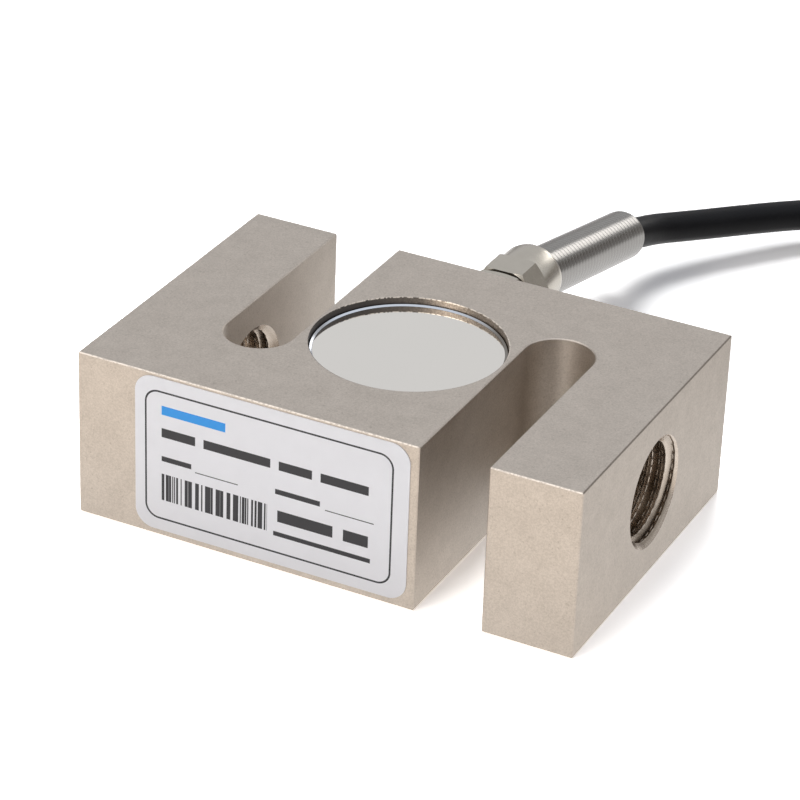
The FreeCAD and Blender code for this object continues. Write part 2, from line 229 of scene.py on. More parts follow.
# %% [markdown]
# ## Surfaces from formulas
#
# A turned part is a profile carried round an axis, and a wire is a circle carried along a
# path. Both are a grid of points with two parameters, so one function can sew any grid into
# a mesh. Whole arrays are worked out at once, without a loop over the points.

# %% Grid and mesh helpers
def grid_mesh(name, points, wrap_rows=False, wrap_columns=False, sharp=None):
    """Sew an array of points [row, column, xyz] in metres into a smooth quad mesh.

    Face corners run row, next row, next column, so that outward means the side from which
    rows run up and columns run to the left. A wrapped direction joins its end to its start.
    """
    rows, columns = points.shape[:2]
    index = np.arange(rows * columns).reshape(rows, columns)
    row_step = index if wrap_rows else index[:-1]
    here = row_step if wrap_columns else row_step[:, :-1]
    up = np.roll(index, -1, axis=0)[:len(here)]
    right = np.roll(index, -1, axis=1)[:len(here)]
    corner = np.roll(np.roll(index, -1, axis=0), -1, axis=1)[:len(here)]
    width = here.shape[1]
    quads = np.stack([here, right[:, :width], corner[:, :width], up[:, :width]], axis=-1)
    mesh = bpy.data.meshes.new(name)
    mesh.from_pydata(points.reshape(-1, 3).tolist(), [], quads.reshape(-1, 4).tolist())
    return smooth(mesh, sharp)


def smooth(mesh, sharp=None):
    """Shade a mesh smooth, with creases where faces meet at more than an angle in degrees."""
    mesh.update()
    mesh.shade_smooth()
    if sharp is not None:
        mesh.set_sharp_from_angle(angle=math.radians(sharp))
    return mesh


def piece(name, mesh, finish):
    """An object at the origin for one mesh, with its finish, riding on the one body."""
    made = bpy.data.objects.new(name, mesh)
    bpy.context.scene.collection.objects.link(made)
    made.data.materials.clear()
    made.data.materials.append(finish.material)
    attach(made, "root")
    return made


def frame_of(axis):
    """Two unit vectors square to an axis and to each other."""
    axis = np.asarray(axis, float) / np.linalg.norm(axis)
    helper = np.array([0.0, 0.0, 1.0]) if abs(axis[2]) < 0.9 else np.array([1.0, 0.0, 0.0])
    side = np.cross(helper, axis)
    side /= np.linalg.norm(side)
    return side, np.cross(axis, side)


def turned(profile, start, axis, segments):
    """Points of a lathe form: each (along, radius) of the profile goes once round the axis.

    point = start + axis * along + radius * (side * cos t + other * sin t)
    """
    axis = np.asarray(axis, float) / np.linalg.norm(axis)
    side, other = frame_of(axis)
    along, radius = np.asarray(profile, float).T * mm
    turn = np.linspace(0, 2 * np.pi, segments, endpoint=False)
    ring = np.cos(turn)[:, None] * side + np.sin(turn)[:, None] * other
    centre = np.asarray(start, float) * mm + along[:, None] * axis
    return centre[:, None, :] + radius[:, None, None] * ring[None, :, :]


def tube_along(path, radius, sides):
    """Points of a round tube: circles square to the path, turned as little as possible.

    The first circle's side vector is carried along the path and made square again at each
    point, so that the tube doesn't twist.
    """
    path = np.asarray(path, float)
    run = np.gradient(path, axis=0)
    run /= np.linalg.norm(run, axis=1)[:, None]
    side = frame_of(run[0])[0]
    sides_along = np.empty_like(path)
    for place, direction in enumerate(run):
        side = side - direction * np.dot(side, direction)
        side /= np.linalg.norm(side)
        sides_along[place] = side
    other = np.cross(run, sides_along)
    turn = np.linspace(0, 2 * np.pi, sides, endpoint=False)
    across = np.cos(turn)[None, :, None] * sides_along[:, None]
    upright = np.sin(turn)[None, :, None] * other[:, None]
    return path[:, None, :] + radius * (across + upright)


def capped(mesh):
    """Close every open end of a tube with one face, and point all faces outwards."""
    work = bmesh.new()
    work.from_mesh(mesh)
    open_edges = [edge for edge in work.edges if edge.is_boundary]
    if open_edges:
        bmesh.ops.holes_fill(work, edges=open_edges)
    bmesh.ops.recalc_face_normals(work, faces=work.faces)
    work.to_mesh(mesh)
    work.free()
    return mesh


# %% [markdown]
# ## The cable
#
# The cable leaves the gland inside its spring guard, droops under its own weight and runs off
# along the bench. The rest is wound into a tied coil, as it comes out of the box: four
# layers of turns, inwards and outwards by turns, each turn a cable's width from the last.
# One NURBS spline holds it all. Near the block its points are listed; in the coil a
# loop works them out. A quadratic spline cuts the corners of its control polygon, so the
# coil's points lie further out by one over the cosine of half a step.

# %% Cable route
cable_radius = 2.5
gland_height = 18.2
spring_length = 39.6
spring_start = np.array([0.0, 39.3, gland_height])
spring_droop = math.radians(13.1)
spring_yaw = math.radians(0.9)
spring_axis = np.array([-math.sin(spring_yaw) * math.cos(spring_droop),
                        math.cos(spring_yaw) * math.cos(spring_droop), -math.sin(spring_droop)])
spring_end = spring_start + spring_axis * spring_length
past_spring = 3.2

cable_route = [(0.0, 26.8, gland_height), tuple(spring_start),
               tuple(spring_end + past_spring * spring_axis),
               (5.9, 91.9, 6.6), (13.0, 101.0, 5.8), (19.6, 109.0, 5.0), (28.2, 114.0, 4.8),
               (41.6, 116.9, 3.9), (50.8, 118.1, 3.3)]

coil_center = np.array([75.0, 85.0, 0.0])
coil_outer_turn = 38.5
coil_inner_turn = 18.5
coil_layer_heights = (3.3, 8.3, 13.3, 18.3)
coil_turns = (4.0, 4.0, 4.0, 3.3125)
coil_first_angle = 108.0
coil_points_per_turn = 16
coil_climb_turns = 0.25


def on_coil(radius, angle, height):
    """Points at a radius, an angle in degrees and a height about the coil's centre."""
    turn = np.radians(angle)
    flat = np.stack([radius * np.cos(turn), radius * np.sin(turn), 0 * turn], axis=-1)
    return coil_center + flat + np.multiply.outer(height, [0.0, 0.0, 1.0])


def coil_points():
    """Control points of the wound turns: a spiral per layer that climbs in its first quarter turn."""
    widen = 1 / math.cos(math.pi / coil_points_per_turn)
    angle = coil_first_angle
    start_height = coil_layer_heights[0]
    points = []
    for layer, (height, turns) in enumerate(zip(coil_layer_heights, coil_turns)):
        inward = layer % 2 == 0
        steps = round(turns * coil_points_per_turn)
        progress = np.arange(steps) / coil_points_per_turn
        grown = 2 * cable_radius * progress
        radius = coil_outer_turn - grown if inward else coil_inner_turn + grown
        climb = np.clip(progress / coil_climb_turns, 0, 1)
        level = start_height + (height - start_height) * climb
        points.append(on_coil(radius * widen, angle - 360 * progress, level))
        angle -= 360 * steps / coil_points_per_turn
        start_height = height
    return np.concatenate(points), angle


tail_start_angle = -92.0
tail_turn = -88.0
tail_start_radius = 35.5
tail_end_radius = 30.0
tail_height = 23.3
tail_climb = [(35.3, -6.0, 18.5), (35.5, -28.0, 19.8), (35.7, -50.0, 21.6), (35.7, -72.0, 23.0)]


def tail_points():
    """The climb on to the coil's top, given point by point, and the last stretch of the jacket."""
    last = [(tail_start_radius + (tail_end_radius - tail_start_radius) * part,
             tail_start_angle + tail_turn * part, tail_height) for part in (0.0, 0.5, 1.0)]
    return [on_coil(*place) for place in tail_climb + last]


coiled, last_angle = coil_points()
control = np.concatenate([np.array(cable_route), coiled, np.array(tail_points())]) * mm
print("control points:", len(control), "coil ends at", round(last_angle % 360, 1), "degrees")


# %% Cable curve
def nurbs(name, points, radius, sides):
    """A round cord on one open quadratic NURBS spline through a control polygon in metres."""
    curve = bpy.data.curves.new(name, "CURVE")
    curve.dimensions = "3D"
    curve.resolution_u = 6
    curve.bevel_depth = radius * mm
    curve.bevel_resolution = sides // 4 - 1
    curve.use_fill_caps = True
    spline = curve.splines.new("NURBS")
    spline.points.add(len(points) - 1)
    spline.points.foreach_set("co", np.column_stack([points, np.ones(len(points))]).ravel())
    spline.order_u = 3
    spline.use_endpoint_u = True
    return curve


def jacket_finish():
    """Black PVC: almost matt, with a soft sheen, faint drag lines and a few dull patches."""
    made = Finish("cable_jacket", (0.007, 0.007, 0.008), 0.42, Specular_IOR_Level=0.14)
    patches = made.noise(4.0 * mm, detail=3.0)
    grain = made.noise(0.35 * mm, detail=2.0)
    made.color(made.blend(patches.ramp(0.3, 0.8), (0.003, 0.003, 0.004), (0.0055, 0.0055, 0.0065)))
    made.roughness(0.34 + 0.12 * patches)
    made.bump(grain, 0.02 * mm)
    return made


jacket = jacket_finish()
cable_curve = nurbs("cable_whole", control, cable_radius, 20)
cable = bpy.data.objects.new("cable_whole", cable_curve)
bpy.context.scene.collection.objects.link(cable)
cable_curve.materials.append(jacket.material)
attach(cable, "root")
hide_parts("cable", "cable_coil", "cable_tail")

# The coil lies just outside the view, and its reflection would darken the block's end face.
cable.visible_glossy = False

# %% [markdown]
# ## The block
#
# The S is milled from one bar of alloy steel, blasted to an even satin and plated with
# nickel. Plated nickel is a warm grey metal: it mirrors the room, but the blasting spreads
# each reflection over a wide cone, so the three faces differ mainly by what stands opposite
# them. The finish is a metal of fairly high roughness. Its colour drifts in soft clouds of a
# few millimetres, and a fine speckle, both in colour and as a bump, stands for the blasting.
# The recess walls are left as turned, a little smoother, and their colour is painted darker
# as shade, most of all on the left. The front edge and the back of the recess lip are painted
# bright as a highlight, and a painted shadow runs as a dark line along the right end's top edge.
#
# The CAD mesh is a soup of loose triangles. A copy of it is merged and shaded smooth, so
# that the round slot ends and pockets don't show facets, and the CAD node stays hidden
# behind it for the collision model.

# %% Satin nickel
half_length, half_width, block_height = 38.1, 25.4, 25.4
mid_height = block_height / 2
seat_radius, seat_shelf = 14.0, 23.4
recess_start, recess_full = 0.44 * block_height, 0.442 * block_height
# Reaches of the painted highlight on the front edge and recess lip, and of the painted shadow line on the
# right end's edge.
edge_glint_reach, lip_glint_reach, end_shadow_reach = 0.20, 0.16, 0.24


def blasted(made, dark, light, speckle=1.0):
    """The colour and the grain of clouds, grain and pits between two tones of one warm grey."""
    clouds = made.noise(3.5 * mm, detail=5.0, roughness=0.70)
    grain = made.noise(0.26 * mm, detail=2.0, roughness=0.80)
    pits = made.noise(0.40 * mm, detail=1.0).ramp(0.66, 0.74)
    tone = 0.38 * clouds.ramp(0.3, 0.7) + 0.62 * grain.ramp(0.36, 0.64)
    plate = made.blend(tone, dark, light)
    return made.blend(pits * (0.20 * speckle), plate, (0.16, 0.13, 0.10)), grain


def block_finish():
    """Blasted nickel plate, with painted shade on the recess walls and the right end's top edge, and a
    painted highlight on the front edge and the recess lip.
    """
    made = Finish("nickel_plated_steel", (0.52, 0.45, 0.39), 0.50, metallic=1.0)
    body, grain = blasted(made, (0.450, 0.402, 0.354), (0.608, 0.547, 0.488))
    x, y, z = (made.axis(which) for which in "XYZ")
    beads = made.noise(0.4 * mm, detail=1.0).ramp(0.42, 0.52)
    off_axis = (x * x + y * y).root()
    from_middle = (z - mid_height * mm).absolute()
    inside = off_axis.below((seat_radius + 0.04) * mm)
    in_recess = inside * from_middle.ramp(recess_start * mm, recess_full * mm)
    lip = off_axis.near(seat_radius * mm, edge_glint_reach * mm) * from_middle.near(mid_height * mm, lip_glint_reach * mm)
    back_lip = lip * y.ramp(0.0, 9.0 * mm)
    front_edge = y.near(-half_width * mm, edge_glint_reach * mm) * z.near(block_height * mm, edge_glint_reach * mm)
    end_edge = x.near(half_length * mm, end_shadow_reach * mm) * z.near(block_height * mm, end_shadow_reach * mm)
    # Painted highlight: the front edge and the back of the recess lip are coloured bright.
    painted_highlight = ((front_edge + back_lip) * beads * 1.5).at_most(0.9)
    # Painted shade: the recess walls are coloured darker, and darker still towards the left.
    wall_shade = made.blend(grain.ramp(0.35, 0.65), (0.19, 0.155, 0.125), (0.43, 0.365, 0.305))
    rightward = x.ramp(-0.8 * seat_radius * mm, 0.3 * seat_radius * mm)
    walled = made.blend(in_recess, body, made.blend(rightward, (0.09, 0.08, 0.075), wall_shade))
    # Painted shadow: a dark line of colour along the right end's top edge.
    edged = made.blend((end_edge * 1.5).at_most(0.85), walled, (0.15, 0.125, 0.10))
    made.color(made.blend(painted_highlight, edged, (0.88, 0.80, 0.71)))
    made.roughness((0.45 + 0.10 * grain) - 0.06 * in_recess)
    made.bump(grain, 0.0042 * mm)
    return made


block_nickel = block_finish()


# %% Merged copies of CAD nodes
weld_distance = 0.0005


def merged_copy(node, name, finish, sharp=30, drop=None):
    """A welded, smoothly shaded copy of a CAD node's mesh, less the faces that drop() picks."""
    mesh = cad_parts[node].data.copy()
    mesh.name = name
    work = bmesh.new()
    work.from_mesh(mesh)
    bmesh.ops.remove_doubles(work, verts=work.verts, dist=weld_distance * mm)
    if drop is not None:
        unwanted = [face for face in work.faces if drop(face)]
        bmesh.ops.delete(work, geom=unwanted, context="FACES")
    work.to_mesh(mesh)
    work.free()
    for stored in [layer for layer in mesh.attributes if "normal" in layer.name]:
        mesh.attributes.remove(stored)
    copy = piece(name, smooth(mesh, sharp), finish)
    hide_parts(node)
    return copy


# %% [markdown]
# ## The load threads
#
# Each leg is tapped M16 x 2 right through. A tapped hole is a cone at each mouth and a
# spiral groove between: the groove's radius follows from how far along its pitch a point is,
# and the cone cuts away whatever lies inside it, so the surface's radius is the larger of
# the two. The CAD bore is plain, so its faces are left out of the block's copy and this
# surface takes their place, edge to edge.

# %% Threaded bores
leg_width = 13.4
mouth_radius = 8.2
thread_minor = 6.92
thread_major = 8.0
thread_pitch = 2.0
thread_shift = 0.56
root_flat, crest_flat = 1 / 16, 1 / 8


def thread_radius(along, turn):
    """Radius of a right-hand internal thread of 60 degrees about +X.

    The phase is how many pitches a point lies from the groove's middle line:
    phase = (along + shift) / pitch - turn / (2 pi), folded to 0 at the root, 1/2 at the crest.
    The flanks are straight lines between two flats, given as halves in parts of a pitch.
    """
    phase = np.abs(((along + thread_shift) / thread_pitch - turn / (2 * np.pi) + 0.5) % 1.0 - 0.5)
    slope = np.clip((phase - root_flat) / (0.5 - crest_flat - root_flat), 0, 1)
    return thread_major - (thread_major - thread_minor) * slope


def threaded_bore(outer_x, side, around=144, lengthwise=216):
    """The wall of one tapped leg, from the outer mouth to the one in the slot."""
    turn = np.linspace(0, 2 * np.pi, around, endpoint=False)
    inward = np.linspace(0, leg_width, lengthwise)
    along = outer_x - side * inward
    cone = mouth_radius - np.minimum(inward, leg_width - inward)
    radius = np.maximum(thread_radius(along[:, None], turn[None, :]), cone[:, None])
    points = np.stack([np.broadcast_to(along[:, None], radius.shape), radius * np.cos(turn),
                       mid_height + radius * np.sin(turn)], axis=-1) * mm
    return points if side > 0 else points[::-1]


def is_bore_wall(face):
    """Whether a face of the CAD block belongs to a load hole or its countersinks."""
    centre = face.calc_center_median() / mm
    off_axis = math.hypot(centre.y, centre.z - mid_height)
    return abs(centre.x) > half_length - leg_width - 0.01 and off_axis < mouth_radius - 0.02


merged_copy("s_body", "s_block", block_nickel, 30, is_bore_wall)


def thread_finish():
    """Plating in a cut thread: smoother than the faces, with torn specks, and painted shade in the grooves
    and the lower half of the bore.
    """
    made = Finish("cut_thread_nickel", (0.50, 0.44, 0.38), 0.30, metallic=1.0)
    body, grain = blasted(made, (0.56, 0.48, 0.41), (0.80, 0.71, 0.62), 0.4)
    y, z = made.axis("Y"), made.axis("Z") - mid_height * mm
    depth = half_length * mm - made.axis("X").absolute()
    # Painted shade: the grooves and the lower half of the bore are coloured darker.
    groove = (y * y + z * z).root().ramp(7.1 * mm, 7.7 * mm) * depth.ramp(0.25 * mm, 0.5 * mm)
    lower = (0.0 - z).ramp(-1.5 * mm, 3.0 * mm)
    bore_shade = (groove * 0.34 + lower * 0.40).at_most(0.85)
    made.color(made.blend(bore_shade, body, (0.20, 0.16, 0.12)))
    made.roughness(0.18 + 0.16 * grain)
    made.bump(grain, 0.006 * mm)
    return made


thread_nickel = thread_finish()
for side, place in ((1, "right"), (-1, "left")):
    wall = grid_mesh("load_thread_" + place, threaded_bore(side * half_length, side),
                     wrap_columns=True, sharp=40)
    bore = piece("load_thread_" + place, wall, thread_nickel)
    print(place, "thread:", len(wall.polygons), "faces")

# %% [markdown]
# ## The pocket covers
#
# A thin disc of polished stainless steel is pressed into each pocket. Its face is a true
# mirror, so it has almost no texture of its own: it shows the room behind it, and near the
# far rim the upside-down image of the pocket's wall. The disc is slightly dished: its rim
# stands a hair proud and slopes inwards, which draws a thin bright ring round the mirror.
# The rim's colour is painted pale and bluish on the left and dark on the right, as painted
# light and shade.

# %% Covers
cover_radius = 13.95
cover_low, cover_high = seat_shelf, 24.4
cover_bevel = 0.12
cover_ridge = 0.05
cover_rim = 0.34
cover_dish = 0.20
cover_pinhole = 0.02


def cover_profile():
    """(along, radius) points: up the side, over the raised rim, down its slope and in to the middle."""
    flat = cover_high - cover_dish
    brow = cover_radius - cover_bevel
    slope = brow - cover_rim
    rim = [[cover_high - cover_bevel, cover_radius], [cover_high, brow],
           [cover_high, brow - cover_ridge], [flat, slope]]
    face = np.column_stack([np.full(4, flat), np.linspace(slope - 0.05, cover_pinhole, 4)])
    under = np.array([[cover_low, cover_pinhole], [cover_low, cover_radius]])
    return np.concatenate([under, rim, face])


def polished_finish():
    """Polished stainless steel: a mirror with the faintest unevenness and a rougher turned rim, painted pale
    on the left and dark on the right.
    """
    made = Finish("polished_cover", (0.95, 0.95, 0.94), 0.05, metallic=1.0)
    drift = made.noise(9.0 * mm, detail=1.0)
    x, y = made.axis("X"), made.axis("Y")
    rim = (x * x + y * y).root().ramp((cover_radius - 0.55) * mm, (cover_radius - 0.50) * mm)
    mirror = made.blend(drift, (0.965, 0.945, 0.905), (0.99, 0.965, 0.925))
    # Painted light and shade: the rim is pale and bluish on the left and dark on the right.
    rim_light_and_shade = made.blend(x.ramp(0.0, 9.0 * mm), (0.50, 0.52, 0.56), (0.27, 0.25, 0.23))
    made.color(made.blend(rim, mirror, rim_light_and_shade))
    made.roughness(0.035 + 0.03 * drift + 0.12 * rim)
    return made


polished = polished_finish()
top_points = turned(cover_profile(), (0, 0, 0), (0, 0, 1), 192)
for node, flip in (("top_cover", False), ("bottom_cover", True)):
    points = top_points.copy()
    if flip:
        points[..., 1] *= -1
        points[..., 2] = 2 * mid_height * mm - points[..., 2]
    disc = piece(node + "_disc", capped(grid_mesh(node, points, wrap_columns=True, sharp=15)), polished)
    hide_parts(node)

# %% [markdown]
# ## The gland
#
# The cable enters through a turned brass gland: a hexagonal flange screwed into the block
# with a rubber washer under it, and a hexagonal nut whose round nose holds the spring guard.
# The forms are right in the CAD model, so they are only merged, smoothed and plated. The
# plating is brighter and smoother than the block's.

# %% Gland and nut
def gland_finish():
    """Bright nickel on brass: smooth and a little creamy, with soft handling marks."""
    made = Finish("bright_nickel", (0.70, 0.66, 0.59), 0.24, metallic=1.0)
    smears = made.noise(2.2 * mm, detail=3.0)
    made.color(made.blend(smears, (0.55, 0.515, 0.455), (0.62, 0.585, 0.52)))
    made.roughness(0.20 + 0.10 * smears)
    return made


gland_plate = gland_finish()
merged_copy("gland_body", "gland_flange", gland_plate, 20)
merged_copy("gland_nut", "gland_clamp_nut", gland_plate, 20)

# %% [markdown]
# ## The spring guard
#
# One steel wire, ground almost flat outside, is wound close on itself round the cable. It
# follows a helix about an axis that droops from the gland: start + axis * along + radius *
# (side cos t + other sin t), with t turning once for each wire width. The wire's section
# swings `along` and `radius` to and fro about that line, far inwards and barely outwards, and
# its ends are closed.

# %% Spring
wire_half_width = 0.60
wire_crown, wire_depth = 0.012, 0.60
crown_power = 0.35
helix_radius = 3.938
spring_turns = 32


def spring_points(steps_per_turn=48, sides=12):
    """Points of the wire: a flat crown outside and a half round inside, carried along the helix."""
    turn = np.linspace(0, spring_turns, spring_turns * steps_per_turn + 1)[:, None, None]
    around = np.linspace(0, 2 * np.pi, sides, endpoint=False)[None, :, None]
    side, other = frame_of(spring_axis)
    outward = np.cos(2 * np.pi * turn) * side + np.sin(2 * np.pi * turn) * other
    along = wire_half_width + turn / spring_turns * (spring_length - 2 * wire_half_width)
    along = along + wire_half_width * np.cos(around)
    crown = wire_crown * np.sin(around).clip(0, 1) ** crown_power
    radius = helix_radius + crown + wire_depth * np.sin(around).clip(-1, 0)
    return (spring_start + along * spring_axis + radius * outward) * mm


def wire_finish():
    """Drawn spring wire: an even, rather dark steel with the faintest drift of tone."""
    made = Finish("spring_wire", (0.26, 0.25, 0.24), 0.20, metallic=1.0)
    drift = made.noise(3.0 * mm, detail=2.0)
    made.color(made.blend(drift, (0.265, 0.257, 0.244), (0.297, 0.288, 0.275)))
    made.roughness(0.17 + 0.06 * drift)
    return made


spring_mesh = capped(grid_mesh("spring_guard", spring_points(), wrap_columns=True))
spring = piece("spring_guard", smooth(spring_mesh, 25), wire_finish())
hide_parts("relief_spring")
print("spring:", len(spring_mesh.polygons), "faces")

# %% [markdown]
# ## The stripped end
#
# The far end is bare, as such sensors are sold: four insulated cores fan out from the jacket
# and each ends in a few millimetres of tinned wire. Each core follows a few given points,
# smoothed by the same kind of spline as the cable.

# %% Cores and tips
core_radius = 0.6
tip_radius = 0.32
tip_length = 6.0
core_turn = 52.0
core_colors = {"red": (0.42, 0.018, 0.012), "black": (0.012, 0.012, 0.012),
               "green": (0.010, 0.16, 0.045), "white": (0.78, 0.78, 0.74)}


def core_route(index):
    """Control points of one stripped core, from the jacket's end to the start of its tinned tip."""
    last, before = tail_points()[-1], tail_points()[-2]
    along = (last - before) / np.linalg.norm(last - before)
    outward = np.array([-along[1], along[0], 0.0])
    lane = index - 1.5
    low = tail_height - cable_radius + core_radius + 0.05
    angle = tail_start_angle + tail_turn
    fan = [(1.5, 0.2, low + core_radius), (1.9, 0.55, low), (2.6, 0.85 + index / 25, low)]
    return [last + along * 0.5 + outward * lane * 1.42] + [
        on_coil(tail_end_radius + lane * spread, angle - part * core_turn, height)
        for spread, part, height in fan]


def spline_points(route, steps=28):
    """Points of a clamped quadratic B-spline through a short control polygon.

    Between the middles of neighbouring runs it is a parabola with the shared corner as its
    control point: (1 - t)^2 a + 2 t (1 - t) corner + t^2 b.
    """
    route = np.asarray(route, float)
    joints = np.concatenate([route[:1], (route[1:-2] + route[2:-1]) / 2, route[-1:]])
    t = np.linspace(0, 1, steps, endpoint=False)[:, None]
    arcs = [(1 - t) ** 2 * a + 2 * t * (1 - t) * corner + t ** 2 * b
            for a, corner, b in zip(joints, route[1:-1], joints[1:])]
    return np.concatenate(arcs + [route[-1:]])


def core_finish(name, color):
    """Coloured PVC insulation, smooth and slightly glossy."""
    made = Finish("core_" + name, color, 0.32)
    drift = made.noise(1.5 * mm, detail=1.0)
    made.color(made.blend(drift * 0.3, color, tuple(0.6 * part for part in color)))
    return made


def tinned_finish():
    """Tinned copper strands: a dull silver metal whose bump hints at the twist."""
    made = Finish("tinned_strands", (0.62, 0.61, 0.59), 0.35, metallic=1.0)
    made.bump(made.noise(0.25 * mm, detail=1.0), 0.03 * mm)
    return made


core_finishes = {name: core_finish(name, color) for name, color in core_colors.items()}
tips = []
for index, name in enumerate(core_colors):
    line = spline_points(core_route(index)) * mm
    tube = tube_along(line, core_radius * mm, 14)
    mesh = capped(grid_mesh("core_" + name, tube, wrap_columns=True))
    core = piece("stripped_core_" + name, smooth(mesh, 50), core_finishes[name])
    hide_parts("outer_core_" + name)
    heading = (line[-1] - line[-2]) / np.linalg.norm(line[-1] - line[-2])
    tips.append(line[-1] + heading * np.linspace(0, tip_length * mm, 12)[:, None])

tip_meshes = [tube_along(line, tip_radius * mm, 10) for line in tips]
work = bmesh.new()
for points in tip_meshes:
    part = capped(grid_mesh("tip", points, wrap_columns=True))
    work.from_mesh(part)
    bpy.data.meshes.remove(part)
tip_mesh = bpy.data.meshes.new("tinned_tips")
work.to_mesh(tip_mesh)
work.free()
tip_piece = piece("tinned_tips", smooth(tip_mesh, 50), tinned_finish())
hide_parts("core_tips")

# %% [markdown]
# ## The tie
#
# A nylon tie holds the coil. Its strap is a flat band that goes round the coil's section, so
# it is a rounded rectangle thickened outwards, and the locking head is a small block with
# eased edges where the strap's end passes through.

# %% Tie
tie_thickness = 0.8
tie_width = 4.8
tie_angle = math.radians(42.0)
coil_inner, coil_outer = 16.0, 41.0
coil_bottom, coil_top = 0.8, 20.8
strap_corner = 1.2
strap_play = 0.02
head_length, head_width, head_corner = 6.5, 6.4, 0.7
head_foot, head_top = coil_top + 0.4, coil_top + 4.0


def rounded_loop(low, high, corner, steps=8):
    """Points of a rectangle from low to high whose corners are quarter circles."""
    (x0, z0), (x1, z1) = low, high
    centres = ((x1 - corner, z0 + corner, -90), (x1 - corner, z1 - corner, 0),
               (x0 + corner, z1 - corner, 90), (x0 + corner, z0 + corner, 180))
    parts = []
    for x, z, first in centres:
        turn = np.radians(first + np.linspace(0, 90, steps))
        parts.append(np.column_stack([x + corner * np.cos(turn), z + corner * np.sin(turn)]))
    return np.concatenate(parts)


def turned_to_tie(points):
    """Take points [radial, across, up] at the coil's centre to the tie's place on the coil."""
    radial, across, up = np.moveaxis(points, -1, 0)
    return np.stack([coil_center[0] + radial * math.cos(tie_angle) - across * math.sin(tie_angle),
                     coil_center[1] + radial * math.sin(tie_angle) + across * math.cos(tie_angle), up],
                    axis=-1) * mm


def strap_points():
    """The band: its four long edges, each a loop round the coil's section."""
    inner = rounded_loop((coil_inner - strap_play, coil_bottom - strap_play),
                         (coil_outer + strap_play, coil_top + strap_play), strap_corner)
    outer = rounded_loop((coil_inner - tie_thickness, strap_play),
                         (coil_outer + tie_thickness, coil_top + tie_thickness), strap_corner + tie_thickness)
    edges = [(inner, -1), (inner, 1), (outer, 1), (outer, -1)]
    loops = [np.column_stack([loop[:, 0], np.full(len(loop), side * tie_width / 2), loop[:, 1]])
             for loop, side in edges]
    return turned_to_tie(np.stack(loops, axis=1))


def head_points():
    """The locking head: rounded rectangles stacked from its foot to its slightly smaller top."""
    centre = coil_outer - 2.0 - head_length / 2
    layers = []
    for level, less in ((head_foot, 0.0), (head_top - 0.6, 0.0), (head_top - 0.2, 0.2), (head_top, 0.6)):
        reach = np.array([head_length, head_width]) / 2 - less
        loop = rounded_loop(-reach, reach, head_corner)
        layers.append(np.column_stack([centre + loop[:, 0], loop[:, 1], np.full(len(loop), level)]))
    return turned_to_tie(np.stack(layers))


def nylon_finish():
    """Black nylon: satin, with a fine moulded grain."""
    made = Finish("tie_nylon", (0.016, 0.016, 0.017), 0.38)
    made.bump(made.noise(0.3 * mm, detail=1.0), 0.012 * mm)
    return made


strap = grid_mesh("tie_strap", strap_points(), wrap_rows=True, wrap_columns=True)
head = grid_mesh("tie_head", head_points(), wrap_columns=True)
work = bmesh.new()
for part in (strap, head):
    work.from_mesh(capped(part))
    bpy.data.meshes.remove(part)
bmesh.ops.recalc_face_normals(work, faces=work.faces)
tie_mesh = bpy.data.meshes.new("coil_tie")
work.to_mesh(tie_mesh)
work.free()
tie = piece("coil_tie_band", smooth(tie_mesh, 35), nylon_finish())
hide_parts("coil_tie")

# %% [markdown]
# ## The label
#
# A white film label is stuck to the front face. Its print is generic: a thin rounded border,
# a blue bar, plain dark bars, two ruled lines, and a strip of bars that encodes nothing. Each
# mark is a field in the label's own plane: a bar is where both coordinates are near its
# middle, and the border is where the distance to a rounded rectangle's edge is close to 0.

# %% Label
label_centre = (-7.8 * mm, (mid_height + 0.28) * mm)
label_tilt = math.radians(0.15)
ink = (0.035, 0.035, 0.04)
blue_ink = (0.04, 0.34, 0.86)


def inside_box(x, z, low, high):
    """1 inside a rectangle given by two corners in millimetres, else 0."""
    middle = [(a + b) / 2 * mm for a, b in zip(low, high)]
    half = [abs(b - a) / 2 * mm for a, b in zip(low, high)]
    return (x - middle[0]).absolute().below(half[0]) * (z - middle[1]).absolute().below(half[1])


def rounded_distance(x, z, half_width, half_height, corner):
    """Distance in metres from a point to a rounded rectangle's edge, negative inside."""
    over_x = (x.absolute() - (half_width - corner) * mm).at_least(0.0)
    over_z = (z.absolute() - (half_height - corner) * mm).at_least(0.0)
    return (over_x * over_x + over_z * over_z).root() - corner * mm


blue_bar = ((-16.9, 6.4), (-6.9, 7.8))
strip_box = ((-16.9, -7.1), (-0.3, -2.9))
printed_bars = [((-16.9, 2.9), (-11.6, 4.3)), ((-10.3, 2.9), (0.1, 4.3)),
                ((1.4, 2.9), (6.5, 4.3)), ((7.8, 2.9), (15.1, 4.3)),
                ((-16.9, -0.9), (-12.2, -0.1)), ((-11.6, -1.3), (-4.9, -1.15)),
                ((0.9, -0.9), (7.8, -0.1)), ((8.6, -1.3), (16.0, -1.15)),
                ((1.3, -5.2), (9.8, -3.4)), ((11.4, -5.2), (15.2, -3.4)),
                ((0.7, -7.5), (15.6, -6.8))]


def bar_strip(made, x, z):
    """Upright bars of uneven width: a bar wherever noise along the label passes its middle."""
    where = made.node("CombineXYZ", {}, {"X": x}).outputs[0]
    uneven = made.node("TexNoise", {}, {"Vector": where, "Scale": 1 / (0.55 * mm), "Detail": 1.0})
    return Signal(made, uneven.outputs[0]).ramp(0.475, 0.485) * inside_box(x, z, *strip_box)


